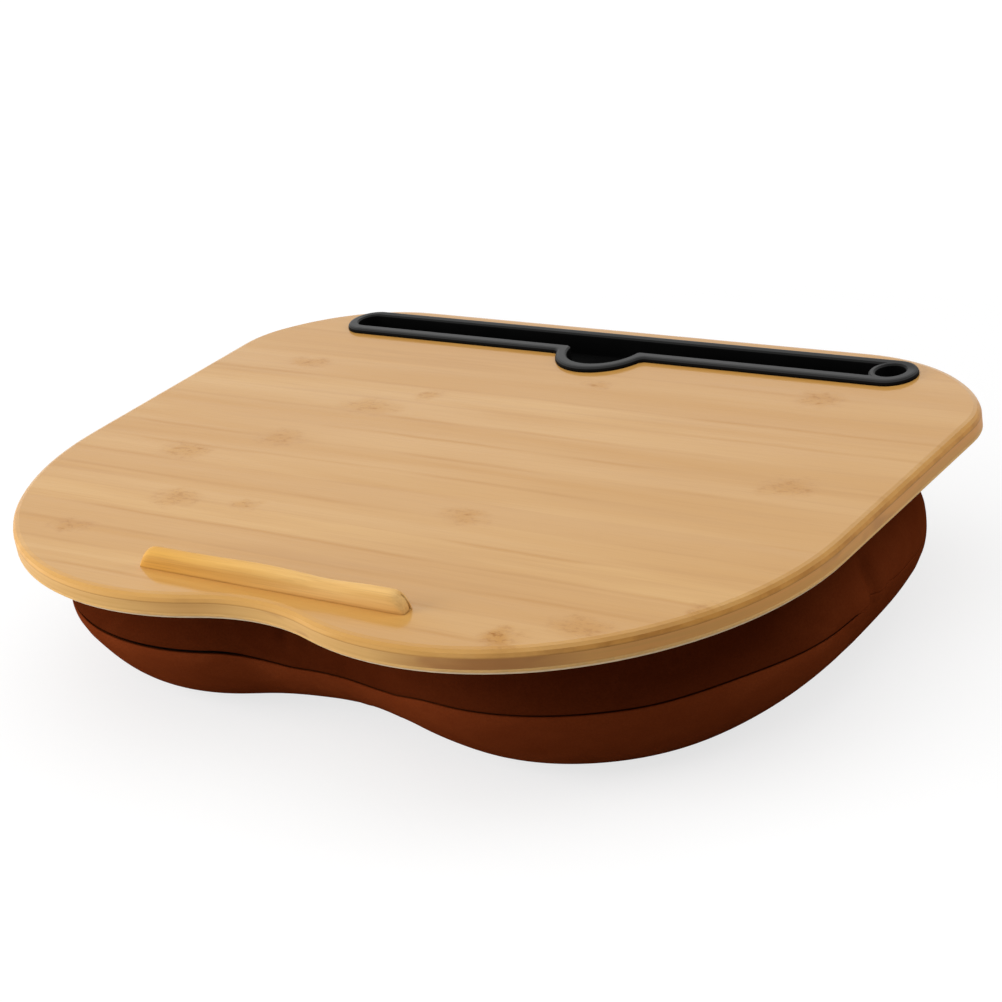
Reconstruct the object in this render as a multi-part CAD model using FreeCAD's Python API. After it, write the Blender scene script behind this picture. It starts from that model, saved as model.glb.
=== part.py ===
"""Cushioned lap desk: a bamboo plywood board with a moulded media slot and a
stop ledge, on a zipped cushion.  Millimetres, +Z up, front towards -Y.
Origin: the middle of the flat cushion bottom that lies on the lap or table."""
import FreeCAD, Part
import math
import os
from FreeCAD import Vector

# ---------------------------------------------------------------- board
board_width = 440.0            # side to side
board_depth = 332.0            # back edge to the front lobes
face_ply = 4.0                 # bamboo face, grain side to side
core_ply = 5.0                 # crossed core
back_ply = 3.0                 # bamboo back
back_corner_flat_r = 93.0      # the back corner: a wide arc, then a tighter one
back_corner_side_r = 44.0
back_corner_split = 56.0       # degrees of turn taken by the wide arc
front_lobe_r = 142.0           # the front corner is one long arc
front_dip = 13.0               # depth of the hollow in the middle of the front edge
hollow_least_r = 5.0           # a front hollow is never sharper; the lobes give way to it
top_edge_round = 3.5
bottom_edge_bevel = 1.8
round_steps = 3                # bevels that make up a rounded edge

# ---------------------------------------------------------------- slot insert
insert_from_back = 25.0        # board's back edge to the middle of the slot
insert_from_side = 61.0        # board's side to the centre of the slot's round end
slot_half_width = 7.5
insert_wall = 2.0
rim_band = 6.0                 # width of the raised rim round the slot
rim_height = 2.8               # rim above the board
insert_depth = 11.2            # body below the board's top face
insert_floor = 2.0
pen_hole_r = 7.5
pen_ring_wall = 3.2            # wall between the pen hole and the slot
notch_r = 20.5                 # round bay in front of the slot
notch_forward = 6.5            # from the slot's middle forward to the bay's centre
notch_corner_r = 2.5           # where the bay opens into the slot
body_corner_r = 1.5            # the same corner of the body below the rim
rim_corner_r = 4.0             # outer rim, where the bay meets the long side
rim_outer_round = 2.0
rim_inner_bevel = 0.8
cutout_clearance = 0.3         # board cut-out round the insert's body
crush_rib_r = 0.8
crush_rib_height = 8.0
crush_rib_pitch = 70.0

# ---------------------------------------------------------------- stop ledge
ledge_length = 152.0
ledge_height = 9.0
ledge_thickness = 7.0
ledge_setback = 10.0           # front edge of the hollow back to the ledge
ledge_corner_r = 8.0           # rounded ends, seen from the front
ledge_edge_round = 2.2

# ---------------------------------------------------------------- cushion
side_overhang = 11.0           # board beyond the cushion's seam, on each side
depth_overhang = 29.0          # and at the back and the front lobes
cushion_height = 76.0          # flat bottom to the underside of the board
cushion_upper = 35.0           # side seam up to the underside of the board
cushion_back_r = 62.0          # back corner: back part and side part
cushion_side_r = 98.0
cushion_corner_split = 45.0
cushion_lobe_r = 118.0
cushion_dip = 18.0
upper_upright = 24.0           # the side stands straight this far from the seam,
upper_lean = 40.0              # then leans in by this angle under the board
lower_upright = 14.0
lower_lean = 53.0              # and by this one down to the flat bottom
cover_cloth = 1.2
foam_gap = 5.6                 # cover's outside to the foam, level with the seam
panel_thickness = 3.0          # hardboard sheet under the cover's top
panel_inset = 20.0             # panel edge in from the cushion's widest outline

# ---------------------------------------------------------------- zip
zip_end_y = 0.0                # the opening ends here on both sides
slit_half = 1.2                # half the gap between the two lips
tape_thickness = 0.5
tape_width = 9.0
tape_tail = 12.0               # tape past the end of the opening
coil_thickness = 1.8
coil_width = 1.7
stop_length = 2.0
stop_from_arc = 0.5            # stop to the start of the corner arc
slider_length = 9.0
slider_from_arc = 0.8          # parked slider to the start of the corner arc
slider_half_width = 4.2
slider_plate = 1.0
slider_flange = 0.8
neck_half = 0.8
zip_clearance = 0.4            # between the slider and everything it passes
flange_reach = 1.3             # flanges, from the back plate towards the tape
face_plate_half = 2.6
face_plate = 0.8
pin_r = 0.6
pin_hole_clearance = 0.08
lug_gap = 0.2                  # pull knuckle to lug
knuckle_r = 1.3
knuckle_half = 1.6
pull_length = 22.0
pull_width = 6.0
pull_thickness = 1.1
pull_neck_length = 4.5
pull_hole_r = 1.5

# ---------------------------------------------------------------- levels
seam_z = cushion_height - cushion_upper
under_z = cushion_height
panel_z = under_z - cover_cloth - panel_thickness
core_z = under_z + back_ply
face_z = core_z + core_ply
top_z = face_z + face_ply
cushion_width = board_width - 2 * side_overhang
cushion_depth = board_depth - 2 * depth_overhang
slot_end_x = board_width / 2 - insert_from_side
slot_y = board_depth / 2 - insert_from_back
notch_y = slot_y - notch_forward
floor_z = top_z - insert_depth + insert_floor
UP = Vector(0, 0, 1)
BIG = board_width + board_depth
overcut = 1.0                  # how far a cutting tool runs past what it cuts


# ================================================================ helpers
def box(x0, x1, y0, y1, z0, z1):
    """A block between two corners."""
    return Part.makeBox(x1 - x0, y1 - y0, z1 - z0, Vector(x0, y0, z0))


def arc(cx, cy, r, a0, a1, z):
    """An arc about (cx, cy) from angle a0 to a1, in degrees."""
    points = [Vector(cx + r * math.cos(math.radians(a)), cy + r * math.sin(math.radians(a)), z)
              for a in (a0, (a0 + a1) / 2, a1)]
    return Part.Arc(*points).toShape()


def line(a, b):
    return Part.LineSegment(a, b).toShape()


def cylinder(x, y, r, z0, z1):
    return Part.makeCylinder(r, z1 - z0, Vector(x, y, z0), UP)


def front_of(y, z0, z1):
    """Everything in front of y, between two heights."""
    return box(-BIG, BIG, -BIG, y, z0, z1)


def stack(outline, levels):
    """A solid through the outline's lines at the given insets and heights."""
    wires = [outline.wire(inset, z) for inset, z in levels]
    return Part.makeLoft(wires, True, True).removeSplitter()


def rounding(r, z, side):
    """Insets and heights round an edge at height z: an upper edge (side 1), from the
    wall inwards, or a lower one (side -1), from the end face out to the wall."""
    turns = [math.pi / 2 * step / round_steps for step in range(round_steps + 1)]
    return [(r * (1 - math.cos(turn)), z - side * r * (1 - math.sin(turn))) for turn in turns[::side]]


def flared(levels):
    """The levels of a hole that opens out where a solid would be tucked in."""
    return [(-inset, z) for inset, z in levels]


class Outline:
    """The lap desk outline: straight back, two-arc back corners, straight sides,
    one long arc for each front lobe, and a hollow between the lobes."""

    def __init__(self, width, depth, back_r, side_r, split, lobe_r, dip):
        self.half = width / 2
        room = self.half + dip - math.sqrt(2 * dip * (self.half + hollow_least_r))
        lobe_r = min(lobe_r, room)
        self.back = depth / 2
        self.split = split
        self.back_r, self.side_r, self.lobe_r = back_r, side_r, lobe_r
        turn = math.radians(split)
        self.back_x = self.half - side_r - (back_r - side_r) * math.sin(turn)
        self.back_y = self.back - back_r
        self.side_x = self.half - side_r
        self.side_y = self.back_y + (back_r - side_r) * math.cos(turn)
        self.lobe_x = self.half - lobe_r
        self.lobe_y = -depth / 2 + lobe_r
        reach = (self.lobe_x ** 2 + dip ** 2) / (2 * dip)
        self.dip_turn = math.degrees(math.asin(self.lobe_x / reach))
        self.dip_r = reach - lobe_r
        self.dip_y = self.lobe_y - reach * math.cos(math.radians(self.dip_turn))
        self.front_middle = self.dip_y + self.dip_r

    def edges(self, inset, z):
        """The closed outline, moved inwards by inset, anticlockwise from the back right."""
        side, back = self.half - inset, self.back - inset
        split, turn = self.split, self.dip_turn
        back_r, side_r = self.back_r - inset, self.side_r - inset
        lobe_r, dip_r = self.lobe_r - inset, self.dip_r + inset
        return [line(Vector(self.back_x, back, z), Vector(-self.back_x, back, z)),
                arc(-self.back_x, self.back_y, back_r, 90, 90 + split, z),
                arc(-self.side_x, self.side_y, side_r, 90 + split, 180, z),
                line(Vector(-side, self.side_y, z), Vector(-side, self.lobe_y, z)),
                arc(-self.lobe_x, self.lobe_y, lobe_r, 180, 270 + turn, z),
                arc(0, self.dip_y, dip_r, 90 + turn, 90 - turn, z),
                arc(self.lobe_x, self.lobe_y, lobe_r, -90 - turn, 0, z),
                line(Vector(side, self.lobe_y, z), Vector(side, self.side_y, z)),
                arc(self.side_x, self.side_y, side_r, 0, 90 - split, z),
                arc(self.back_x, self.back_y, back_r, 90 - split, 90, z)]

    def wire(self, inset, z):
        return Part.Wire(self.edges(inset, z))


class SlotLine:
    """The media slot with its round bay in front: straight sides, round ends, and
    rounded corners where the bay opens into the slot."""

    def __init__(self, half_width, bay_r, corner_r):
        self.half_width, self.bay_r, self.corner_r = half_width, bay_r, corner_r
        self.corner_y = slot_y - half_width - corner_r
        rise = notch_y - self.corner_y
        self.corner_x = math.sqrt((bay_r + corner_r) ** 2 - rise ** 2)
        self.mouth = math.degrees(math.asin(rise / (bay_r + corner_r)))

    def wire(self, inset, z):
        """The closed line, moved inwards by inset, anticlockwise from the back right."""
        r, corner, mouth = self.half_width - inset, self.corner_r + inset, self.mouth
        front, back = slot_y - r, slot_y + r
        return Part.Wire([line(Vector(slot_end_x, back, z), Vector(-slot_end_x, back, z)),
                          arc(-slot_end_x, slot_y, r, 90, 270, z),
                          line(Vector(-slot_end_x, front, z), Vector(-self.corner_x, front, z)),
                          arc(-self.corner_x, self.corner_y, corner, 90, mouth, z),
                          arc(0, notch_y, self.bay_r - inset, 180 + mouth, 360 - mouth, z),
                          arc(self.corner_x, self.corner_y, corner, 180 - mouth, 90, z),
                          line(Vector(self.corner_x, front, z), Vector(slot_end_x, front, z)),
                          arc(slot_end_x, slot_y, r, -90, 90, z)])


class RoundLine:
    """A circle about the slot's right end."""

    def __init__(self, r):
        self.r = r

    def wire(self, inset, z):
        return Part.Wire(Part.makeCircle(self.r - inset, Vector(slot_end_x, slot_y, z), UP))


class LedgeLine:
    """The stop ledge seen from the front: rounded upper corners on a straight foot."""

    def wire(self, inset, y):
        """The closed line at depth y, its ends and top moved inwards by inset."""
        end, high = ledge_length / 2, top_z + ledge_height
        foot, shoulder, r = end - inset, high - ledge_corner_r, ledge_corner_r - inset
        middle, bend = end - ledge_corner_r, r * math.sqrt(0.5)
        right = Part.Arc(Vector(foot, y, shoulder), Vector(middle + bend, y, shoulder + bend),
                         Vector(middle, y, high - inset))
        left = Part.Arc(Vector(-middle, y, high - inset), Vector(-middle - bend, y, shoulder + bend),
                        Vector(-foot, y, shoulder))
        return Part.Wire([line(Vector(-foot, y, top_z), Vector(foot, y, top_z)),
                          line(Vector(foot, y, top_z), Vector(foot, y, shoulder)),
                          right.toShape(),
                          line(Vector(middle, y, high - inset), Vector(-middle, y, high - inset)),
                          left.toShape(),
                          line(Vector(-foot, y, shoulder), Vector(-foot, y, top_z))])


board_line = Outline(board_width, board_depth, back_corner_flat_r, back_corner_side_r,
                     back_corner_split, front_lobe_r, front_dip)
cushion_line = Outline(cushion_width, cushion_depth, cushion_back_r, cushion_side_r,
                       cushion_corner_split, cushion_lobe_r, cushion_dip)


# ================================================================ board and ledge
def insert_cutout():
    """The hole through the board that the insert's body drops into."""
    margin = insert_wall + cutout_clearance
    cut_line = SlotLine(slot_half_width + margin, notch_r + margin, body_corner_r - cutout_clearance)
    return stack(cut_line, [(0, under_z - overcut), (0, top_z + overcut)])


def ledge_y():
    return board_line.front_middle + ledge_setback + ledge_thickness / 2


def ply(z0, z1):
    """One layer of the board, whose edges are shaped after gluing up."""
    bevel = [(bottom_edge_bevel, under_z), (0, under_z + bottom_edge_bevel)]
    board = stack(board_line, bevel + rounding(top_edge_round, top_z, 1))
    return board.common(box(-BIG, BIG, -BIG, BIG, z0, z1)).cut(insert_cutout())


def stop_ledge():
    """A bamboo bar with rounded ends and softened upper edges."""
    front, back = ledge_y() - ledge_thickness / 2, ledge_y() + ledge_thickness / 2
    return stack(LedgeLine(), rounding(ledge_edge_round, front, -1)
                 + rounding(ledge_edge_round, back, 1))


# ================================================================ slot insert
def mouth_levels():
    """Levels of a hole from the insert's floor up, with a bevelled edge at the rim."""
    high = top_z + rim_height
    return [(0, floor_z), (0, high - rim_inner_bevel), (rim_inner_bevel, high)]


def insert_opening():
    """The slot and its bay down to the floor, opened out at the top, less the pen ring."""
    ring = stack(RoundLine(pen_hole_r + pen_ring_wall), mouth_levels())
    slot = SlotLine(slot_half_width, notch_r, notch_corner_r)
    return stack(slot, flared(mouth_levels())).cut(ring)


def pen_hole():
    return stack(RoundLine(pen_hole_r), flared(mouth_levels()))


def insert_rim():
    """The raised, rounded rim that lies on the board."""
    rim = SlotLine(slot_half_width + rim_band, notch_r + rim_band, rim_corner_r)
    return stack(rim, [(0, top_z)] + rounding(rim_outer_round, top_z + rim_height, 1))


def crush_ribs():
    """Small upright ribs that hold the insert tight in its cut-out."""
    wall = slot_half_width + insert_wall
    sink = crush_rib_r - cutout_clearance
    count = int((slot_end_x - notch_r - insert_wall - crush_rib_r) // crush_rib_pitch)
    ribs = []
    for side in (-1, 1):
        for step in range(count + 1):
            x = side * (slot_end_x - step * crush_rib_pitch)
            for face in (-1, 1):
                y = slot_y + face * (wall - sink)
                ribs.append(cylinder(x, y, crush_rib_r, top_z - crush_rib_height, top_z))
    return ribs


def slot_insert():
    body = stack(SlotLine(slot_half_width + insert_wall, notch_r + insert_wall, body_corner_r),
                 [(0, top_z - insert_depth), (0, top_z)])
    body = body.fuse(crush_ribs() + [insert_rim()]).removeSplitter()
    return body.cut([insert_opening(), pen_hole()])


# ================================================================ cushion
def half_form(inset, end_z, upright, lean):
    """Half of the cushion's form from the side seam to end_z, its side moved inwards by
    inset: an upright part, then a leaning one."""
    way = math.copysign(1, end_z - seam_z)
    lean = math.radians(lean)
    bend = upright - inset * math.tan(lean / 2)
    tuck = (abs(end_z - seam_z) - bend) * math.tan(lean)
    return stack(cushion_line, [(inset, seam_z), (inset, seam_z + way * bend), (inset + tuck, end_z)])


def upper_form(inset, drop):
    return half_form(inset, under_z - drop, upper_upright, upper_lean)


def lower_form(inset, lift):
    return half_form(inset, lift, lower_upright, lower_lean)


def cover_upper():
    """Upper cover panel: top face under the board, and the side down to the seam."""
    shell = upper_form(0, 0).cut(upper_form(cover_cloth, cover_cloth))
    return shell.cut(front_of(zip_end_y, seam_z - overcut, seam_z + slit_half))


def cover_lower():
    """Lower cover panel: the flat bottom and the side up to the seam."""
    shell = lower_form(0, 0).cut(lower_form(cover_cloth, cover_cloth))
    return shell.cut(front_of(zip_end_y, seam_z - slit_half, seam_z + overcut))


def foam_filling():
    """A block of foam that fills the zipped cover."""
    upper = upper_form(foam_gap, under_z - panel_z)
    return upper.fuse(lower_form(foam_gap, cover_cloth)).removeSplitter()


def backing_panel():
    """Hardboard sheet inside the cover that holds its top flat under the board."""
    return stack(cushion_line, [(panel_inset, panel_z), (panel_inset, panel_z + panel_thickness)])


# ================================================================ zip
tape_inset = cover_cloth
coil_inset = tape_inset + tape_thickness
coil_back = coil_inset + coil_thickness


def side_band(outer, inner, z0, z1):
    """A strip that follows the cushion's upright side, between two insets and heights."""
    solid = stack(cushion_line, [(outer, z0), (outer, z1)])
    return solid.cut(stack(cushion_line, [(inner, z0), (inner, z1)]))


def stop_y():
    return cushion_line.lobe_y + stop_from_arc


def zip_half(side):
    """One tape of the zip with its coil sewn along the slit."""
    edge = seam_z + side * slit_half
    far = edge + side * tape_width
    tape = side_band(tape_inset, coil_inset, edge, far)
    tape = tape.common(front_of(zip_end_y + tape_tail, min(edge, far), max(edge, far)))
    far = edge + side * coil_width
    coil = side_band(coil_inset, coil_back, edge, far)
    coil = coil.common(front_of(stop_y(), min(edge, far), max(edge, far)))
    return tape.fuse(coil).removeSplitter()


def zip_stops():
    """A crimped stop across both coils at each end of the chain, on the tapes' back."""
    reach = slit_half + coil_width
    outer, inner = cushion_line.half - coil_inset, cushion_line.half - coil_back
    stops = [box(min(x0, x1), max(x0, x1), stop_y(), stop_y() + stop_length,
                 seam_z - reach, seam_z + reach) for x0, x1 in ((inner, outer), (-outer, -inner))]
    return Part.makeCompound(stops)


def slider_angle():
    """Direction of the parked slider's middle, seen from the left lobe's centre."""
    travel = slider_from_arc + slider_length / 2
    return 180 + math.degrees(travel / cushion_lobe_r)


def sector(r0, r1, half_length, z0, z1):
    """A block that follows the left lobe's arc, centred on the parked slider."""
    turn = math.degrees(half_length / cushion_lobe_r)
    centre = Vector(-cushion_line.lobe_x, cushion_line.lobe_y, z0)
    ring = Part.makeCylinder(r1, z1 - z0, centre, UP, 2 * turn)
    ring = ring.cut(Part.makeCylinder(r0, z1 - z0, centre, UP, 360))
    ring.rotate(centre, UP, slider_angle() - turn)
    return ring


def pin_centre():
    """The pull's pivot, just outside the slider's face plate."""
    reach = cushion_lobe_r + zip_clearance + face_plate + knuckle_r
    a = math.radians(slider_angle())
    return Vector(-cushion_line.lobe_x + reach * math.cos(a),
                  cushion_line.lobe_y + reach * math.sin(a), seam_z)


def zip_slider():
    """Slider body: back plate and flanges behind the coils, a neck through the slit,
    and a face plate with two lugs and the pull's pin outside."""
    half = slider_length / 2
    back_r = cushion_lobe_r - coil_back - zip_clearance
    plate = sector(back_r - slider_plate, back_r, half,
                   seam_z - slider_half_width, seam_z + slider_half_width)
    body = [sector(back_r - slider_plate / 2, cushion_lobe_r + zip_clearance + face_plate / 2,
                   half / 2, seam_z - neck_half, seam_z + neck_half)]
    for side in (-1, 1):
        rim = [seam_z + side * slider_half_width,
               seam_z + side * (slider_half_width - slider_flange)]
        body.append(sector(back_r - slider_plate / 2, back_r + flange_reach, half,
                           min(rim), max(rim)))
    face_r = cushion_lobe_r + zip_clearance
    body.append(sector(face_r, face_r + face_plate, half,
                       seam_z - face_plate_half, seam_z + face_plate_half))
    body += slider_lugs(face_r + face_plate)
    return plate.fuse(body).removeSplitter()


def slider_lugs(base_r):
    """Two lugs on the face plate and the pin between them."""
    pin = pin_centre()
    inner = knuckle_half + lug_gap
    lugs = []
    for side in (-1, 1):
        near, far = seam_z + side * inner, seam_z + side * face_plate_half
        low, high = min(near, far), max(near, far)
        lugs.append(cylinder(pin.x, pin.y, knuckle_r, low, high))
        lugs.append(sector(base_r - face_plate / 2, base_r + knuckle_r, knuckle_r, low, high))
    lugs.append(cylinder(pin.x, pin.y, pin_r, seam_z - face_plate_half, seam_z + face_plate_half))
    return lugs


def zip_pull():
    """Pull tab: a knuckle on the pin, a narrow neck and a rounded blade with a hole."""
    neck = knuckle_half
    half_width, half_thick = pull_width / 2, pull_thickness / 2
    tip = pull_length - half_width
    blade = box(-half_thick, half_thick, pull_neck_length, tip, -half_width, half_width)
    blade = blade.fuse([box(-half_thick, half_thick, 0, pull_neck_length + half_width, -neck, neck),
                        Part.makeCylinder(half_width, pull_thickness, Vector(-half_thick, tip, 0),
                                          Vector(1, 0, 0)),
                        Part.makeCylinder(knuckle_r, 2 * knuckle_half,
                                          Vector(0, 0, -knuckle_half), UP)])
    blade = blade.removeSplitter()
    hole = Part.makeCylinder(pull_hole_r, pull_thickness + 2 * overcut,
                             Vector(-half_thick - overcut, tip, 0), Vector(1, 0, 0))
    bore = Part.makeCylinder(pin_r + pin_hole_clearance, 2 * (knuckle_half + overcut),
                             Vector(0, 0, -knuckle_half - overcut), UP)
    blade = blade.cut([hole, bore])
    blade.rotate(Vector(0, 0, 0), UP, slider_angle() - 180)
    blade.translate(pin_centre())
    return blade


# ================================================================ export
NODES = {
    "board_face_ply": lambda: ply(face_z, top_z),
    "board_core_ply": lambda: ply(core_z, face_z),
    "board_back_ply": lambda: ply(under_z, core_z),
    "stop_ledge": stop_ledge,
    "slot_insert": slot_insert,
    "cover_upper": cover_upper,
    "cover_lower": cover_lower,
    "foam_filling": foam_filling,
    "backing_panel": backing_panel,
    "zip_half_upper": lambda: zip_half(1),
    "zip_half_lower": lambda: zip_half(-1),
    "zip_stops": zip_stops,
    "zip_slider": zip_slider,
    "zip_pull": zip_pull,
}


def main():
    os.makedirs("parts", exist_ok=True)
    for name, make in NODES.items():
        shape = make()
        shape.exportStep(os.path.join("parts", name + ".step"))
        size = shape.BoundBox
        print("%-16s solids %d valid %s volume %.1f  x %.1f..%.1f y %.1f..%.1f z %.1f..%.1f" % (
            name, len(shape.Solids), shape.isValid(), shape.Volume, size.XMin, size.XMax,
            size.YMin, size.YMax, size.ZMin, size.ZMax))


main()
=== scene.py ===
"""Looks for the cushioned lap desk: bamboo board, moulded slot insert, suede cushion."""
import math
import bmesh
import bpy
import numpy as np
from mathutils import Matrix, Vector


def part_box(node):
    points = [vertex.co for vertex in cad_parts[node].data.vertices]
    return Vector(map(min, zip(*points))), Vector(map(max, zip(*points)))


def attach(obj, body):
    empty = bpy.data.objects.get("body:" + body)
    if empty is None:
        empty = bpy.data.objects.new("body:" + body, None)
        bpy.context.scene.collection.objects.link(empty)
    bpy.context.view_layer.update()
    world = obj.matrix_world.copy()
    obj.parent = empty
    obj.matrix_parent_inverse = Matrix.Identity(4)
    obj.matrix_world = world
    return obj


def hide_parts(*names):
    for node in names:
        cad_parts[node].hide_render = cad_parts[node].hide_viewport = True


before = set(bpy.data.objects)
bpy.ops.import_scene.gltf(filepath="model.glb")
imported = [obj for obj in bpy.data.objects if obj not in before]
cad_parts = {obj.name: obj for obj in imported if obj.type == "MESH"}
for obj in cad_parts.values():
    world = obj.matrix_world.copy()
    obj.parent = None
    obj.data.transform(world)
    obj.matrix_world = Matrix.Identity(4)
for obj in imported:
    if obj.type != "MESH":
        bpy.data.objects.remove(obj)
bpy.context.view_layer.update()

MM = 0.001

# ---------------------------------------------------------------- places from the frame
board_low, board_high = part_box("board_face_ply")
slot_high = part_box("slot_insert")[1]
cover_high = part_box("cover_upper")[1]
TOP = board_high[2]                   # the board's upper face
UNDER = cover_high[2]                 # underside of the board, top of the cushion
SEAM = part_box("cover_lower")[1][2]    # level of the seam and the zip
HALF_WIDTH, HALF_DEPTH = cover_high[0], cover_high[1]

# ---------------------------------------------------------------- cushion outline, as in the CAD
BACK_R = 62 * MM
SIDE_R = 98 * MM
LOBE_R = 118 * MM
DIP = 18 * MM
SPLIT = math.radians(45)

# ---------------------------------------------------------------- cushion
COLUMNS = 288                         # round the outline, in the simulated form
LOWER_ROWS, UPPER_ROWS = 15, 10       # below and above the seam
CLOTH = 1.1 * MM
TUCK_TOP, TUCK_BOTTOM = 15 * MM, 37 * MM
POWER_TOP, POWER_BOTTOM = 2.0, 1.68
STRAIGHT = 2 * MM                     # so far below the seam the side stands straight
TUCK_FULL = 14 * MM                   # and from here down it follows its tucked profile
SHRUNK = 2.0 * MM                     # the simulated form starts smaller by up to this
SHRUNK_FULL = 16 * MM                 # distance from the seam where it is smaller in full
# Bends as (direction in degrees, spread in degrees, inset in mm). In plan, the right side
# is full in the middle and pulls in at both its corners.
PLAN_BENDS = [(0, 16, -6), (-34, 20, 2), (30, 18, 3)]
BOTTOM_BENDS = [(0, 18, 22), (-90, 28, 8), (-156, 18, -2.5)]
# Above the seam the left lobe leans in, from a height that is clear of the slider.
LEAN_BENDS = [(-152, 26, 17)]
LEAN_FROM, LEAN_TO = 4.6 * MM, 23 * MM
# Soft creases as (x, y, height above the seam, length, width, depth, lean), in mm.
CREASES = [(214, 6, 17, 26, 4.2, 5.0, 0.10), (214, 26, 10, 14, 6.0, 1.4, -0.4),
           (212, -10, -9, 7, 4.0, 1.6, 0.9), (213, 4, -14, 9, 5.0, 1.2, 0.6),
           (-208, 2, 15, 22, 7.0, 1.2, -0.1), (-208, -6, -14, 14, 6.0, 1.0, 0.3),
           (-60, 137, 14, 18, 8.0, 1.2, 0.1), (52, 137, 12, 20, 8.0, 1.3, -0.1),
           (120, 134, -12, 16, 9.0, 1.2, 0.2), (-128, 133, -13, 15, 8.0, 1.1, -0.2),
           (40, -124, -12, 14, 11.0, 0.8, 0.2), (-30, -124, -14, 16, 12.0, 0.8, -0.2)]

# ---------------------------------------------------------------- cloth simulation
FRAMES = 20
SOLVER_STEPS = 5
PRESSURE = 60.0
BENDING = 2.0                         # stiffness
SWELL_CAP = 3.2 * MM

# ---------------------------------------------------------------- seam, slit and zip
ZIP_END = -7 * MM                     # behind this y the seam is sewn shut
SLIT_FADE = 4.5 * MM                  # and the slit opens over this length in front of it
SLIT_HALF = 0.85 * MM                 # half the opening where the slider runs
SLIT_SLIM = 0.45 * MM                 # and beyond the slider's travel
TRAVEL_END = -52 * MM                 # the slider runs no further right than this,
TRAVEL_FADE = 25 * MM                 # and the zip closes up over this length
SEWN = 0.03 * MM                      # half the gap where the seam is sewn shut
LIP = 0.6 * MM                        # the cloth turns in by this much at the zip,
LIP_FADE = 2.2 * MM                   # less and less over this height
LIP_AT_HEM = math.exp(-0.25)          # share of the turn that the hem's roll starts with
HEM_TURNS = range(180, -1, -20)       # degrees round the hem's roll, from inside to outside
# Between the hem and the grid's own rows: heights of the rings above or below the hem, and
# the distance from the seam at which the grid's rows take over.
NEAR_RISES = [1.1 * MM, 1.8 * MM, 2.7 * MM, 3.8 * MM, 5.2 * MM]
NEAR_END = 7.5 * MM
# The tape and its coil as (depth behind the cloth, distance from the seam), in mm.
TAPE_EDGE = 1.1                       # distance of the coil's edge where the slider runs
TAPE_SHUT = 0.12                      # and beyond it, where the zip is shut
TAPE_SECTION = [(0.1, TAPE_EDGE), (0.1, 5.5), (0.1, 10), (0.5, 10), (0.5, 5.5), (0.5, 2.9)]
COIL_SECTION = [(0.9, 2.9), (1.5, 2.6), (1.7, 2.0), (1.4, 1.4)]
COIL_FOOT = 0.8                       # depth of the coil's last point, at its edge
SHUT_BELOW = 3.5                      # points nearer than this, in mm, move as the zip shuts
TOOTH = 0.2                           # every other column of the coil stands out by this, in mm
TAPE_TAIL = 12 * MM                   # the tape ends at this y

# ---------------------------------------------------------------- filling
FOAM_GAP = 6 * MM                     # from the cushion's outside
FOAM_FREE = 0.3 * MM                  # above the bottom cloth
FOAM_LID = 4.4 * MM                   # below the board, clear of the hardboard panel


def outline_segments():
    """Lines and arcs of the seam line, anticlockwise from the back right."""
    turn = SPLIT
    back_x = HALF_WIDTH - SIDE_R - (BACK_R - SIDE_R) * math.sin(turn)
    back_y = HALF_DEPTH - BACK_R
    side_x = HALF_WIDTH - SIDE_R
    side_y = back_y + (BACK_R - SIDE_R) * math.cos(turn)
    lobe_x = HALF_WIDTH - LOBE_R
    lobe_y = -HALF_DEPTH + LOBE_R
    reach = (lobe_x ** 2 + DIP ** 2) / (2 * DIP)
    bend = math.asin(lobe_x / reach)
    dip_r = reach - LOBE_R
    dip_y = lobe_y - reach * math.cos(bend)
    quarter = math.pi / 2
    return [("line", (back_x, HALF_DEPTH), (-back_x, HALF_DEPTH)),
            ("arc", (-back_x, back_y), BACK_R, quarter, quarter + turn),
            ("arc", (-side_x, side_y), SIDE_R, quarter + turn, 2 * quarter),
            ("line", (-HALF_WIDTH, side_y), (-HALF_WIDTH, lobe_y)),
            ("arc", (-lobe_x, lobe_y), LOBE_R, 2 * quarter, 3 * quarter + bend),
            ("arc", (0, dip_y), -dip_r, quarter + bend, quarter - bend),
            ("arc", (lobe_x, lobe_y), LOBE_R, -quarter - bend, 0),
            ("line", (HALF_WIDTH, lobe_y), (HALF_WIDTH, side_y)),
            ("arc", (side_x, side_y), SIDE_R, 0, quarter - turn),
            ("arc", (back_x, back_y), BACK_R, quarter - turn, quarter)]


def segment_length(segment):
    if segment[0] == "line":
        return math.dist(segment[1], segment[2])
    return abs(segment[2] * (segment[4] - segment[3]))


def segment_point(segment, share):
    """A point on a segment and the outline's outward direction there."""
    if segment[0] == "line":
        a, b = Vector(segment[1]), Vector(segment[2])
        way = (b - a).normalized()
        point = a.lerp(b, share)
        return point.x, point.y, way.y, -way.x
    (cx, cy), r = segment[1], segment[2]
    angle = segment[3] + (segment[4] - segment[3]) * share
    x, y, side = math.cos(angle), math.sin(angle), math.copysign(1, r)
    return cx + x * abs(r), cy + y * abs(r), x * side, y * side


def outline(count):
    """Evenly spaced points on the seam line, with their outward directions: x, y, nx, ny."""
    segments = outline_segments()
    lengths = [segment_length(s) for s in segments]
    total, points = sum(lengths), []
    index, passed = 0, 0.0
    for step in range(count):
        place = total * step / count
        while place > passed + lengths[index]:
            passed += lengths[index]
            index += 1
        points.append(segment_point(segments[index], (place - passed) / lengths[index]))
    return np.array(points).T


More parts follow.
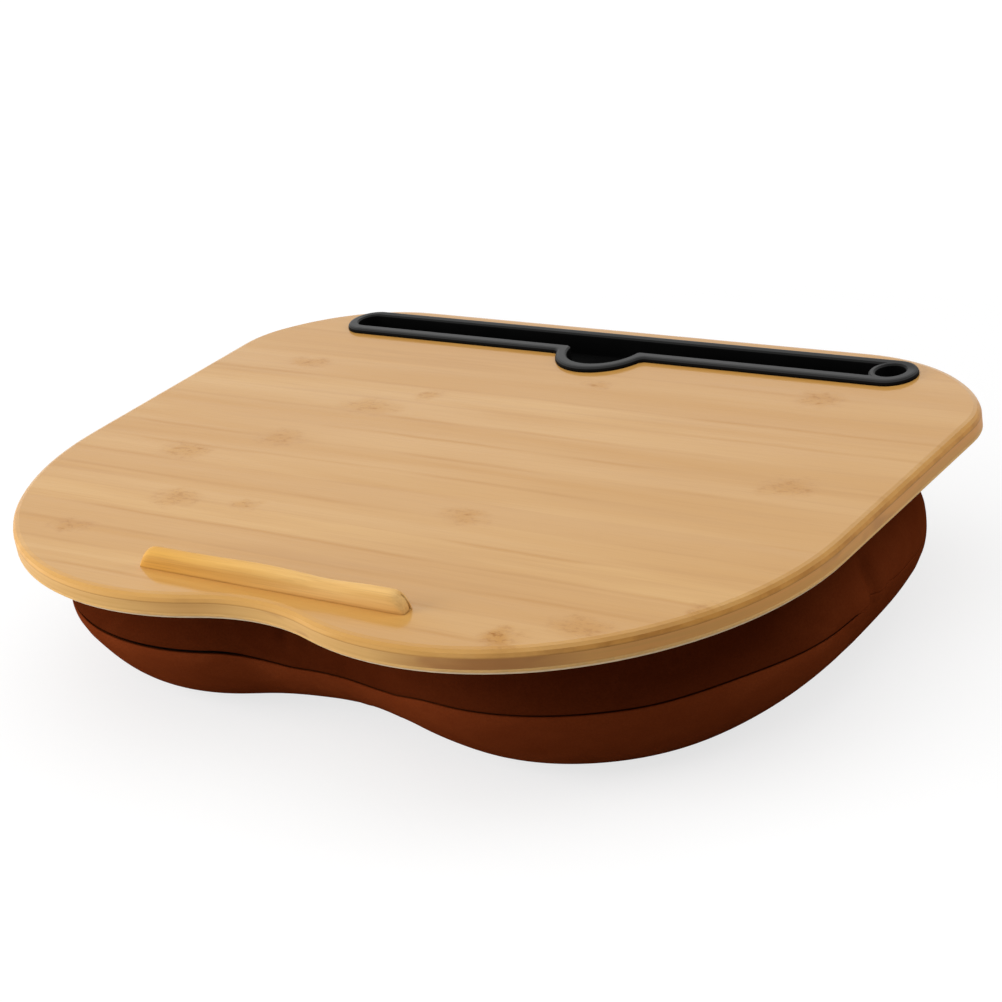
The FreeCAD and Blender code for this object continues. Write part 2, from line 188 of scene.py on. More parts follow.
def bends(x, y, table):
    """Sum of smooth bumps by direction from the middle, in metres."""
    angle = np.degrees(np.arctan2(y, x))
    total = np.zeros_like(x)
    for centre, spread, height in table:
        away = (angle - centre + 180) % 360 - 180
        total += height * MM * np.exp(-(away / spread) ** 2)
    return total


def ramp(value, start, end):
    """A smooth step from 0 at the start to 1 at the end."""
    share = np.clip((value - start) / (end - start), 0, 1)
    return share * share * (3 - 2 * share)


def seam_lift(x, y):
    """How the sewn line wanders: it sags across the front hollow and rides up on the right."""
    x, y = x / MM, y / MM
    front = ramp(-y, 40, 80)
    hollow = ramp(x, -55, -14) - ramp(x, 30, 70)
    right = ramp(x, 165, 204) * ramp(-y, -70, -10)
    return (front * (-7.2 * hollow + 1.0 * ramp(x, 60, 80)) + 2.5 * right) * MM


def profile(height, rise, tuck, power):
    """How far the side tucks in at a height above or below the seam."""
    share = np.minimum(np.abs(height) / rise, 1.0)
    return tuck * (1 - (1 - share ** power) ** (1 / power))


def cushion_form(shrunk):
    """The cushion's outer side as a grid, rows from the bottom up: rows, columns, xyz."""
    x, y, nx, ny = outline(COLUMNS)
    bottom = TUCK_BOTTOM + bends(x, y, BOTTOM_BENDS)
    lean = bends(x, y, LEAN_BENDS)
    plan = bends(x, y, PLAN_BENDS)
    lift = seam_lift(x, y)
    quarter = math.pi / 2
    steps = [-math.sin(quarter * k / LOWER_ROWS) for k in range(LOWER_ROWS, 0, -1)]
    steps += [math.sin(quarter * k / UPPER_ROWS) for k in range(UPPER_ROWS + 1)]
    rows = []
    for step in steps:
        rise = SEAM if step < 0 else UNDER - SEAM
        height = step * rise
        if step < 0:
            tuck = profile(height, rise, bottom, POWER_BOTTOM)
            tuck = tuck * ramp(-height, STRAIGHT, TUCK_FULL)
        else:
            tuck = profile(height, rise, TUCK_TOP, POWER_TOP)
            tuck = tuck + lean * ramp(height, LEAN_FROM, LEAN_TO)
        near = ramp(abs(height), STRAIGHT, SHRUNK_FULL)
        inset = tuck + plan + shrunk * near * math.sin(math.pi * abs(step))
        z = SEAM + height + lift * (1 - abs(step))
        rows.append(np.stack([x - nx * inset, y - ny * inset, z], 1))
    return np.array(rows)


# ---------------------------------------------------------------- mesh helpers
def new_object(name, verts, faces, body, smooth=True):
    """A linked mesh object, which rides on the body if there is one."""
    mesh = bpy.data.meshes.new(name)
    mesh.from_pydata([tuple(v) for v in verts], [], faces)
    mesh.update()
    piece = bpy.data.objects.new(name, mesh)
    bpy.context.scene.collection.objects.link(piece)
    mesh.polygons.foreach_set("use_smooth", [smooth] * len(mesh.polygons))
    if body:
        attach(piece, body)
    return piece


def finish_mesh(piece, loose=()):
    """Deletes the loose points and turns every face outwards."""
    shape = bmesh.new()
    shape.from_mesh(piece.data)
    shape.verts.ensure_lookup_table()
    bmesh.ops.delete(shape, geom=[shape.verts[v] for v in loose], context="VERTS")
    bmesh.ops.recalc_face_normals(shape, faces=shape.faces)
    shape.to_mesh(piece.data)
    shape.free()


def ring_faces(rings, columns):
    """Quads between neighbouring rings of equal length."""
    return [(row * columns + i, row * columns + (i + 1) % columns,
             (row + 1) * columns + (i + 1) % columns, (row + 1) * columns + i)
            for row in range(rings - 1) for i in range(columns)]


CAP_SHARES = (0.2, 0.45, 0.7, 0.88, 0.96)   # rings of a flat end, from its middle outwards


def closed_form(grid):
    """Points and faces of a grid of rings, closed at both ends by flat caps."""
    rings = [grid[0] * [share, share, 1] for share in CAP_SHARES]
    rings += list(grid)
    rings += [grid[-1] * [share, share, 1] for share in reversed(CAP_SHARES)]
    columns = len(rings[0])
    points = np.concatenate(rings)
    faces = ring_faces(len(rings), columns)
    low, high = len(points), len(points) + 1
    points = np.concatenate([points, [[0, 0, rings[0][0][2]], [0, 0, rings[-1][0][2]]]])
    last = (len(rings) - 1) * columns
    faces += [((i + 1) % columns, i, low) for i in range(columns)]
    faces += [(last + i, last + (i + 1) % columns, high) for i in range(columns)]
    return points, faces


def doubled(grid):
    """The grid made twice as fine, on a smooth curve through its points."""
    left, right = np.roll(grid, 1, 1), np.roll(grid, -1, 1)
    middle = (9 * (grid + right) - left - np.roll(grid, -2, 1)) / 16
    wide = np.stack([grid, middle], 2).reshape(len(grid), -1, 3)
    low = 3 * wide[:1] - 3 * wide[1:2] + wide[2:3]
    high = 3 * wide[-1:] - 3 * wide[-2:-1] + wide[-3:-2]
    padded = np.concatenate([low, wide, high])
    middle = (9 * (padded[1:-2] + padded[2:-1]) - padded[:-3] - padded[3:]) / 16
    tall = np.empty((2 * len(wide) - 1, wide.shape[1], 3))
    tall[::2], tall[1::2] = wide, middle
    return tall


def outward(grid):
    """Unit directions out of the grid's surface."""
    along = np.roll(grid, -1, 1) - np.roll(grid, 1, 1)
    across = np.gradient(grid, axis=0)
    way = np.cross(along, across)
    return way / np.linalg.norm(way, axis=2, keepdims=True)


def swell(grid):
    """The form after a cloth simulation under pressure, held at its seam and flat ends."""
    points, faces = closed_form(grid)
    form = new_object("swelling", points, faces, None)
    first = len(CAP_SHARES)
    free = [first + row for row in range(1, len(grid) - 1) if row != LOWER_ROWS]
    soft = {row * COLUMNS + i for row in free for i in range(COLUMNS)}
    held = form.vertex_groups.new(name="held")
    held.add([i for i in range(len(points)) if i not in soft], 1.0, "REPLACE")
    cloth = form.modifiers.new("cloth", "CLOTH").settings
    cloth.quality = SOLVER_STEPS
    cloth.vertex_group_mass = "held"
    cloth.use_pressure = True
    cloth.uniform_pressure_force = PRESSURE
    cloth.effector_weights.gravity = 0.0
    cloth.bending_stiffness = BENDING
    scene = bpy.context.scene
    for number in range(1, FRAMES + 1):
        scene.frame_set(number)
    graph = bpy.context.evaluated_depsgraph_get()
    mesh = form.evaluated_get(graph).to_mesh()
    after = np.empty(3 * len(points))
    mesh.vertices.foreach_get("co", after)
    form.evaluated_get(graph).to_mesh_clear()
    bpy.data.objects.remove(form)
    scene.frame_set(1)
    after = after.reshape(-1, 3)[first * COLUMNS:(first + len(grid)) * COLUMNS]
    moved = after.reshape(grid.shape) - grid
    far = np.linalg.norm(moved, axis=2, keepdims=True)
    return grid + moved * np.minimum(1, SWELL_CAP / np.maximum(far, 1e-9))


def pressed(grid):
    """The form with its soft creases pressed in."""
    way = outward(grid)
    for x, y, height, length, width, depth, lean in CREASES:
        away = np.array([x, y, SEAM / MM + height]) * MM - grid
        up = away[..., 2] / MM
        side = np.hypot(away[..., 0], away[..., 1]) / MM
        side = side * np.sign(away[..., 0] * y - away[..., 1] * x) - lean * up
        dent = depth * np.exp(-(side / width) ** 2 - (up / length) ** 2)
        grid = grid - way * dent[..., None] * MM
    return grid


def at_height(grid, line, side, rise):
    """The ring that lies a given height above (side 1) or below (side -1) the seam line."""
    heights = side * (grid[:, :, 2] - line[:, 2])
    ring = np.empty_like(line)
    for i in range(len(line)):
        for axis in range(3):
            ring[i, axis] = np.interp(rise[i], heights[:, i], grid[:, i, axis])
    return ring


def near_seam(grid, side):
    """The seam line, the level way out of it, how far the lips stand open (0 to 1), and
    where the zip is past the slider's travel (0 to 1)."""
    line = grid[0]
    way = outward(grid[::side])[0 if side > 0 else -1] * [1, 1, 0]
    way /= np.linalg.norm(way, axis=1, keepdims=True)
    past = ramp(line[:, 0], TRAVEL_END, TRAVEL_END + TRAVEL_FADE)
    return line, way, ramp(-line[:, 1], -ZIP_END, SLIT_FADE - ZIP_END), past


def cushion_half(name, node, grid, side, material):
    """One half of the cover: a shell with a flat end and a rolled hem along the seam.
    The grid's rows start at the seam."""
    line, way, share, past = near_seam(grid, side)
    normals = outward(grid[::side])[::side]
    gap = SEWN + (SLIT_HALF + (SLIT_SLIM - SLIT_HALF) * past - SEWN) * share
    lip = LIP * share
    roll = SEWN + (CLOTH / 2 - SEWN) * share
    up = side * np.array([0, 0, 1])
    hem = []
    for turn in HEM_TURNS:
        away, rise = 1 - math.cos(math.radians(turn)), 1 - math.sin(math.radians(turn))
        depth = lip * LIP_AT_HEM + CLOTH / 2 * away
        hem.append(line - way * depth[:, None] + (gap + roll * rise)[:, None] * up)
    outer, inner = [], []
    for rise in NEAR_RISES:
        ring = at_height(grid, line, side, gap + rise)
        outer.append(ring - way * (lip * math.exp(-rise / LIP_FADE))[:, None])
        inner.append(outer[-1] - way * CLOTH)
    for ring, normal in zip(grid, normals):
        if (side * (ring[:, 2] - line[:, 2])).min() > NEAR_END:
            outer.append(ring)
            inner.append(ring - normal * CLOTH)
    lid = grid[-1][0][2] - side * CLOTH
    for ring in inner:
        ring[:, 2] = side * np.minimum(side * ring[:, 2], side * lid)
    inner[-1][:, 2] = lid
    points, faces = closed_form(np.array(inner[::-1] + hem + outer))
    piece = new_object(name, points, faces if side > 0 else [f[::-1] for f in faces], "desk")
    piece.data.materials.append(material)
    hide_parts(node)
    return piece


def band(name, node, rings, keep, material):
    """A closed strip whose cross-section is the list of rings, over the kept columns."""
    count, columns = len(rings), len(rings[0])
    points = np.concatenate(rings)
    faces = []
    for i in range(columns):
        j = (i + 1) % columns
        if not (keep[i] and keep[j]):
            continue
        for k in range(count):
            m = (k + 1) % count
            faces.append((k * columns + i, k * columns + j, m * columns + j, m * columns + i))
    ends = [i for i in range(columns) if keep[i] and not (keep[i - 1] and keep[(i + 1) % columns])]
    for i in ends:
        face = [k * columns + i for k in range(count)]
        faces.append(face if keep[i - 1] else face[::-1])
    piece = new_object(name, points, faces, "desk")
    piece.data.materials.append(material)
    used = {v for face in faces for v in face}
    finish_mesh(piece, [v for v in range(len(points)) if v not in used])
    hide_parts(node)
    return piece


def zip_half(name, node, grid, side, material):
    """One zip tape behind the cloth with its coil along the slit."""
    line, way, share, past = near_seam(grid, side)
    shut = (TAPE_EDGE - TAPE_SHUT) * past
    tooth = TOOTH * (np.arange(len(line)) % 2)[:, None] * MM * way

    def spot(inset, rise):
        """The ring at a depth behind the cloth and a height from the seam line, in mm."""
        lift = np.full(len(line), rise) - shut * (rise < SHUT_BELOW)
        ring = at_height(grid, line, side, lift * MM)
        lip = LIP * share * math.exp(-max(rise * MM - SLIT_HALF, 0) / LIP_FADE)
        return ring - way * (lip + CLOTH + inset * MM)[:, None]

    section = [spot(inset, rise) for inset, rise in TAPE_SECTION]
    section += [spot(inset, rise) + tooth for inset, rise in COIL_SECTION]
    section.append(spot(COIL_FOOT, TAPE_EDGE))
    return band(name, node, section, line[:, 1] < TAPE_TAIL, material)


def foam(grid):
    """The filling: the cushion's form, moved inwards."""
    inner = grid - outward(grid) * FOAM_GAP
    inner[..., 2] = np.clip(inner[..., 2], CLOTH + FOAM_FREE, UNDER - FOAM_LID)
    points, faces = closed_form(inner)
    piece = new_object("foam_block", points, faces, "desk")
    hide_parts("foam_filling")
    return piece


# ---------------------------------------------------------------- stop ledge
LEDGE_FRONT_R, LEDGE_BACK_R = 5.0 * MM, 1.8 * MM
LEDGE_END_R = 8.0 * MM
LEDGE_STATIONS = 80                   # sections along the ledge
FRONT_STEPS, BACK_STEPS = 8, 5        # faces round the front and the back edge
# The hand-eased top as (place along the ledge, spread, height), in mm.
LEDGE_WAVES = [(-6, 24, 0.7), (34, 17, -0.9)]


def ledge_section(depth, height):
    """One closed section across the ledge, front to back: a full round front, a small
    round at the back; pairs of y from the middle and height above the board."""
    front, back = min(LEDGE_FRONT_R, 0.8 * height), min(LEDGE_BACK_R, 0.5 * height)
    points = [(-depth, 0.0)]
    for step in range(FRONT_STEPS + 1):
        turn = math.pi / 2 * step / FRONT_STEPS
        points.append((-depth + LEDGE_FRONT_R * (1 - math.cos(turn)),
                       height - front * (1 - math.sin(turn))))
    for step in range(BACK_STEPS + 1):
        turn = math.pi / 2 * step / BACK_STEPS
        points.append((depth - LEDGE_BACK_R * (1 - math.sin(turn)),
                       height - back * (1 - math.cos(turn))))
    return points + [(depth, 0.0)]


def ledge(material):
    """The stop ledge with eased edges and rounded ends, glued on the board."""
    low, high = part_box("stop_ledge")
    half, depth, height = (high[0] - low[0]) / 2, (high[1] - low[1]) / 2, high[2] - TOP
    middle = (low[1] + high[1]) / 2
    rings = []
    for step in range(LEDGE_STATIONS + 1):
        x = -half * math.cos(math.pi * step / LEDGE_STATIONS)
        end = max(1 - (half - abs(x)) / LEDGE_END_R, 0.0)
        share = math.sqrt(max(1 - end ** 2, 0.01))
        wave = sum(rise * MM * math.exp(-((x / MM - place) / spread) ** 2)
                   for place, spread, rise in LEDGE_WAVES)
        section = ledge_section(depth * (0.8 + 0.2 * share), (height + wave) * share)
        rings.append([(x, middle + y, TOP + z) for y, z in section])
    count = len(rings[0])
    last = (len(rings) - 1) * count
    faces = ring_faces(len(rings), count)
    faces += [tuple(range(count)), tuple(last + i for i in reversed(range(count)))]
    piece = new_object("eased_ledge", [p for ring in rings for p in ring], faces, "desk")
    finish_mesh(piece)
    mesh = piece.data
    for edge in mesh.edges:
        edge.use_edge_sharp = max(mesh.vertices[v].co.z for v in edge.vertices) < TOP + 0.01 * MM
    mesh.materials.append(material)
    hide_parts("stop_ledge")


# ---------------------------------------------------------------- materials
class Shader:
    """Short calls for building one node material."""

    def __init__(self, name):
        self.material = bpy.data.materials.new(name)
        self.material.use_nodes = True
        self.tree = self.material.node_tree
        self.tree.nodes.clear()
        self.output = self.add("ShaderNodeOutputMaterial")
        self.surface = self.add("ShaderNodeBsdfPrincipled")
        self.link(self.surface.outputs[0], self.output.inputs["Surface"])
        self.place = self.add("ShaderNodeTexCoord").outputs["Object"]

    def add(self, kind, **settings):
        node = self.tree.nodes.new(kind)
        for key, value in settings.items():
            setattr(node, key, value)
        return node

    def link(self, a, b):
        self.tree.links.new(a, b)

    def feed(self, socket, value):
        """Links another node's output, or sets a constant."""
        if isinstance(value, bpy.types.NodeSocket):
            self.link(value, socket)
        else:
            socket.default_value = value

    def set(self, **values):
        """Feeds the surface's sockets, named in small letters with underscores."""
        for key, value in values.items():
            title = key.replace("_", " ").title().replace("Ior", "IOR")
            self.feed(self.surface.inputs[title], value)

    def math(self, operation, a, b=0.0, c=0.0):
        node = self.add("ShaderNodeMath", operation=operation)
        for socket, value in zip(node.inputs, (a, b, c)):
            self.feed(socket, value)
        return node.outputs[0]

    def vector(self, operation, *values):
        node = self.add("ShaderNodeVectorMath", operation=operation)
        for socket, value in zip(node.inputs, values):
            self.feed(socket, value)
        return node.outputs["Value" if operation == "LENGTH" else "Vector"]

    def axes(self, vector=None):
        """The three parts of a vector, or of the place on the object."""
        node = self.add("ShaderNodeSeparateXYZ")
        self.link(vector or self.place, node.inputs[0])
        return node.outputs[0], node.outputs[1], node.outputs[2]

    def normal(self):
        return self.axes(self.add("ShaderNodeTexCoord").outputs["Normal"])

    def stretched(self, x, y, z):
        return self.vector("MULTIPLY", self.place, (x, y, z))

    def noise(self, vector, scale=1.0, detail=3.0, roughness=0.5, distortion=0.0, output="Fac"):
        node = self.add("ShaderNodeTexNoise")
        self.link(vector, node.inputs["Vector"])
        node.inputs["Scale"].default_value = scale
        node.inputs["Detail"].default_value = detail
        node.inputs["Roughness"].default_value = roughness
        node.inputs["Distortion"].default_value = distortion
        return node.outputs[output]

    def span(self, value, low, high, to_low=0.0, to_high=1.0):
        """The value mapped from one range to another, held at its ends."""
        node = self.add("ShaderNodeMapRange", clamp=True)
        self.feed(node.inputs["Value"], value)
        node.inputs["From Min"].default_value = low
        node.inputs["From Max"].default_value = high
        node.inputs["To Min"].default_value = to_low
        node.inputs["To Max"].default_value = to_high
        return node.outputs["Result"]

    def mix(self, share, a, b):
        node = self.add("ShaderNodeMix", data_type="RGBA")
        self.feed(node.inputs["Factor"], share)
        colours = [s for s in node.inputs if s.type == "RGBA"]
        for socket, value in zip(colours, (a, b)):
            if isinstance(value, tuple):
                value = (*value, 1.0)
            self.feed(socket, value)
        return [s for s in node.outputs if s.type == "RGBA"][0]

    def bump(self, height, strength, distance, softened=0.0):
        """Surface relief; softened is the radius to which sharp edges look rounded."""
        node = self.add("ShaderNodeBump")
        if softened:
            corner = self.add("ShaderNodeBevel", samples=6)
            corner.inputs["Radius"].default_value = softened
            self.link(corner.outputs[0], node.inputs["Normal"])
        self.link(height, node.inputs["Height"])
        node.inputs["Strength"].default_value = strength
        node.inputs["Distance"].default_value = distance
        self.link(node.outputs[0], self.surface.inputs["Normal"])


def paint(material, *names):
    """Gives the bare CAD pieces a material."""
    for name in names:
        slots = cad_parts[name].data.materials
        slots.clear()
        slots.append(material)


STRIP = 18.5 * MM                     # width of a glued strip of the face
# Brown marks of the bamboo's joints: x, y, length and width of each, in mm.
MARKS = [(-159, 85, 28, 14), (-84, 42, 36, 18), (-62, 63, 18, 13), (-107, -3, 30, 20),
         (-148, -30, 32, 18), (-112, -77, 28, 20), (-71, -74, 16, 11), (-144, -118, 20, 14),
         (44, -54, 24, 16), (173, 15, 28, 20), (139, 106, 26, 20), (155, -127, 30, 18),
         (129, -147, 20, 20), (125, -144, 14, 15), (197, -100, 16, 16), (20, 96, 18, 10)]
# Places with less lacquer sheen, and brown patches on the board's edge, in the same way.
DULL_PATCHES = [(30, -148, 130, 26)]
EDGE_PATCHES = [(120, -152, 90, 40), (-62, -140, 26, 30), (6, -128, 8, 30)]


def smudges(s, place, table):
    """Faint spots at the places of a table, 0 to 1."""
    total = 0.0
    for x, y, length, width in table:
        away = s.vector("SUBTRACT", place, (x * MM, y * MM, 0))
        scaled = s.vector("MULTIPLY", away, (2 / (length * MM), 2 / (width * MM), 0))
        spot = s.span(s.vector("LENGTH", scaled), 0.35, 1.25, 1.0, 0.0)
        total = s.math("ADD", spot, total)
    return total


def face_strips(s):
    """The glued strips, side to side: a tone for each, and their broken borders, 0 to 1."""
    wobble = s.noise(s.stretched(6, 14, 14), 1.0, 3.0, 0.6)
    shifted = s.math("MULTIPLY_ADD", wobble, 0.007, s.axes()[1])
    row = s.math("DIVIDE", s.math("ADD", shifted, board_high[1]), STRIP)
    tone = s.add("ShaderNodeTexWhiteNoise", noise_dimensions="1D")
    s.link(s.math("FLOOR", row), tone.inputs["W"])
    edge = s.math("ABSOLUTE", s.math("SUBTRACT", s.math("FRACT", row), 0.5))
    broken = s.span(s.noise(s.stretched(9, 40, 40), 1.0, 2.0), 0.42, 0.62, 0.0, 0.45)
    return tone.outputs["Value"], s.math("MULTIPLY", s.span(edge, 0.39, 0.50), broken)


def face_grain(s, tone, border, bands, fibre):
    """The colour of the board's top, without its marks."""
    streaks = s.noise(s.stretched(5, 150, 150), 1.0, 3.0, 0.6, 0.6)
    where = s.span(s.noise(s.stretched(5, 30, 30), 1.0, 2.0), 0.45, 0.62)
    broad = s.noise(s.stretched(2.5, 9, 9), 1.0, 2.0)
    pale, warm, brown = (0.660, 0.372, 0.108), (0.560, 0.286, 0.068), (0.450, 0.205, 0.036)
    colour = s.mix(s.math("MULTIPLY", tone, 0.8), pale, warm)
    colour = s.mix(s.span(broad, 0.45, 0.60, 0.0, 0.6), colour, warm)
    colour = s.mix(s.span(bands, 0.36, 0.68, 0.0, 0.85), colour, warm)
    streaked = s.math("MULTIPLY", s.span(streaks, 0.46, 0.76, 0.0, 0.4), where)
    colour = s.mix(streaked, colour, brown)
    colour = s.mix(s.span(fibre, 0.45, 0.75, 0.0, 0.18), colour, brown)
    return s.mix(border, colour, brown)


def face_marks(s):
    """The marks with ragged outlines, and the dark specks in them, 0 to 1."""
    grain = s.noise(s.place, 110.0, 3.0, output="Color")
    ragged = s.vector("MULTIPLY_ADD", grain, (0.020, 0.012, 0), s.place)
    marks = smudges(s, s.vector("SUBTRACT", ragged, (0.010, 0.006, 0)), MARKS)
    specks = s.span(s.noise(s.stretched(190, 330, 330), 1.0, 3.0, 0.7), 0.50, 0.66)
    return marks, s.math("MULTIPLY", marks, specks)


def face_edge(s, colour, bands):
    """The colour with the rounded edge's own: end grain on the right, long grain elsewhere,
    and a dark glue line at the bottom."""
    x, z = s.normal()[::2]
    sawn = s.span(s.noise(s.stretched(90, 90, 120), 1.0, 3.0, 0.6), 0.40, 0.62)
    end_grain = s.mix(sawn, (0.66, 0.305, 0.066), (0.52, 0.225, 0.045))
    long_grain = s.mix(s.span(bands, 0.4, 0.6), (0.78, 0.440, 0.140), (0.66, 0.345, 0.090))
    side = s.mix(s.span(x, 0.10, 0.65), long_grain, end_grain)
    colour = s.mix(s.span(z, 0.90, 0.35), colour, side)
    glue = s.span(s.axes()[2], board_low[2] + 0.9 * MM, board_low[2] + 0.1 * MM, 0.0, 0.45)
    return s.mix(glue, colour, (0.36, 0.145, 0.032))


def bamboo_face():
    s = Shader("bamboo face")
    tone, border = face_strips(s)
    bands = s.noise(s.stretched(3.0, 55, 55), 1.0, 3.0, 0.55, 0.5)
    fibre = s.noise(s.stretched(30, 1300, 1300), 1.0, 2.0, 0.6)
    marks, specks = face_marks(s)
    colour = face_grain(s, tone, border, bands, fibre)
    colour = s.mix(s.math("MULTIPLY", marks, 0.25), colour, (0.44, 0.190, 0.030))
    colour = s.mix(s.math("MULTIPLY", specks, 0.45), colour, (0.30, 0.110, 0.018))
    colour = face_edge(s, colour, bands)
    # The lacquer shines less on the marks, the bands, the borders and the dull patch.
    worn = s.math("MAXIMUM", s.math("MULTIPLY", marks, 0.35), s.math("MULTIPLY", specks, 0.75))
    worn = s.math("MAXIMUM", worn, s.span(bands, 0.36, 0.68, 0.0, 0.25))
    worn = s.math("MAXIMUM", worn, s.math("MULTIPLY", border, 0.8))
    dull = smudges(s, s.place, DULL_PATCHES)
    worn = s.math("MAXIMUM", worn, s.math("MULTIPLY", dull, 0.5))
    flat = s.span(s.normal()[2], 0.60, 0.98, 0.12, 0.97)
    lacquer = s.math("MULTIPLY", flat, s.span(s.axes()[0], -0.20, 0.02, 0.88, 1.0))
    s.set(base_color=colour, roughness=0.5, coat_roughness=0.12, specular_ior_level=0.15,
          coat_weight=s.math("MULTIPLY", lacquer, s.math("SUBTRACT", 1.0, worn)))
    s.bump(fibre, 0.08, 0.0003)
    return s.material


def bamboo_core():
    s = Shader("bamboo core")
    patches = s.noise(s.stretched(26, 26, 60), 1.0, 2.0, 0.5)
    lines = s.noise(s.stretched(12, 12, 420), 1.0, 2.0, 0.5)
    right = s.span(s.normal()[0], 0.1, 0.7)
    body = s.mix(right, (0.72, 0.420, 0.142), (0.74, 0.350, 0.100))
    colour = s.mix(s.span(lines, 0.45, 0.65, 0.0, 0.5), body, (0.62, 0.320, 0.090))
    colour = s.mix(s.span(patches, 0.56, 0.64, 0.0, 0.5), colour, (0.46, 0.215, 0.075))
    brown = s.math("MULTIPLY", smudges(s, s.place, EDGE_PATCHES), 0.75)
    colour = s.mix(brown, colour, (0.36, 0.135, 0.038))
    s.set(base_color=colour, roughness=0.55, coat_weight=0.1, coat_roughness=0.2,
          specular_ior_level=0.15)
    s.bump(lines, 0.15, 0.0003)
    return s.material


def bamboo_back():
    """The back ply, whose lowest part is paler: on the photo only a thin line is pale."""
    s = Shader("bamboo back")
    fibre = s.noise(s.stretched(20, 900, 900), 1.0, 3.0, 0.6)
    above = s.span(s.axes()[2], UNDER + 1.3 * MM, UNDER + 1.7 * MM)
    body = s.mix(above, (0.90, 0.68, 0.42), (0.82, 0.480, 0.165))
    colour = s.mix(s.span(fibre, 0.4, 0.7, 0.0, 0.5), body, (0.60, 0.370, 0.145))
    s.set(base_color=colour, roughness=0.55, coat_weight=0.1, coat_roughness=0.2,
          specular_ior_level=0.15)
    s.bump(fibre, 0.12, 0.0003, 0.8 * MM)
    return s.material


def bamboo_ledge():
    s = Shader("bamboo ledge")
    bands = s.noise(s.stretched(7, 260, 260), 1.0, 3.0, 0.55)
    fibre = s.noise(s.stretched(30, 1500, 1500), 1.0, 3.0, 0.6)
    x, z = s.axes()[::2]
    amber = s.mix(s.span(x, -60 * MM, 30 * MM), (0.74, 0.40, 0.084), (0.80, 0.490, 0.175))
    colour = s.mix(s.span(bands, 0.4, 0.65, 0.0, 0.7), amber, (0.62, 0.31, 0.070))
    colour = s.mix(s.span(fibre, 0.5, 0.75, 0.0, 0.3), colour, (0.40, 0.19, 0.050))
    # Painted shade: darker at the foot, where the ledge meets the board.
    colour = s.mix(s.span(z, TOP + 0.2 * MM, TOP + 0.8 * MM, 0.5, 0.0), colour, (0.30, 0.13, 0.03))
    s.set(base_color=colour, roughness=0.55, coat_weight=0.25, coat_roughness=0.4,
          specular_ior_level=0.15)
    s.bump(fibre, 0.12, 0.0003)
    return s.material


def black_plastic():
    s = Shader("black plastic")
    grain = s.noise(s.place, 1800.0, 2.0, 0.6)
    cloud = s.noise(s.place, 40.0, 2.0, 0.5)
    y, z = s.axes()[1:]
    colour = s.mix(cloud, (0.0025, 0.0025, 0.0025), (0.0045, 0.0045, 0.0045))
    far = s.span(y, slot_high[1] - 12 * MM, slot_high[1] - 7 * MM, 0.85, 0.45)
    level = s.span(s.normal()[2], 0.2, 0.9)
    top = s.math("MULTIPLY", level, s.span(z, TOP + 0.2 * MM, TOP + 1.6 * MM))
    s.set(base_color=colour, roughness=s.span(cloud, 0.3, 0.7, 0.45, 0.55),
          specular_ior_level=0.02, coat_weight=s.math("MULTIPLY", top, far), coat_roughness=0.45)
    s.bump(grain, 0.2, 0.0001, 1.8 * MM)
    return s.material


def suede(name, tone):
    """Brushed fabric, with painted shade: tone is how much of its colour is left along the front,
    where the zip parts it.
    """
    s = Shader(name)
    nap = s.noise(s.stretched(1, 1, 1.5), 30.0, 4.0, 0.6, 0.8)
    patch = s.noise(s.stretched(1, 1, 2.0), 9.0, 2.0, 0.5, 0.5)
    grain = s.noise(s.place, 1100.0, 3.0, 0.65)
    colour = s.mix(s.span(nap, 0.36, 0.68), (0.190, 0.0365, 0.0092), (0.235, 0.0480, 0.0126))
    colour = s.mix(s.span(patch, 0.40, 0.70, 0.0, 0.6), colour, (0.150, 0.0265, 0.0062))
    colour = s.mix(s.span(grain, 0.35, 0.7, 0.0, 0.4), colour, (0.110, 0.0190, 0.0045))
    y, z = s.axes()[1:]
    # Painted shade: the colour keeps the share tone of itself along the front and 0.85 behind it,
    # the rest going to near-black, and above the seam it darkens further towards the board.
    here = s.span(y, -60 * MM, -5 * MM, tone, 0.85)
    shade = s.math("MULTIPLY", here, s.span(z, SEAM + 4 * MM, UNDER, 1.0, 0.55))
    colour = s.mix(shade, (0.010, 0.0005, 0.0001), colour)
    s.set(base_color=colour, roughness=0.95, specular_ior_level=0.0)
    s.bump(grain, 0.3, 0.0003)
    return s.material


def woven_tape():
    s = Shader("zip tape")
    ribs = s.noise(s.stretched(1, 1, 2500), 1.0, 1.0)
    colour = s.mix(ribs, (0.045, 0.010, 0.0025), (0.075, 0.018, 0.005))
    s.set(base_color=colour, roughness=0.95, specular_ior_level=0.0)
    s.bump(ribs, 0.3, 0.0002)
    return s.material


def brown_metal():
    s = Shader("brown metal")
    wear = s.noise(s.place, 500.0, 3.0, 0.6)
    colour = s.mix(s.span(wear, 0.55, 0.75), (0.075, 0.026, 0.014), (0.17, 0.08, 0.05))
    s.set(base_color=colour, roughness=0.38, metallic=0.75)
    s.bump(wear, 0.08, 0.0001)
    return s.material


def plain(name, low, high, scale, roughness):
    """A cloudy colour between two others."""
    s = Shader(name)
    cloud = s.noise(s.place, scale, 3.0, 0.6)
    s.set(base_color=s.mix(cloud, low, high), roughness=roughness)
    s.bump(cloud, 0.2, 0.0005)
    return s.material


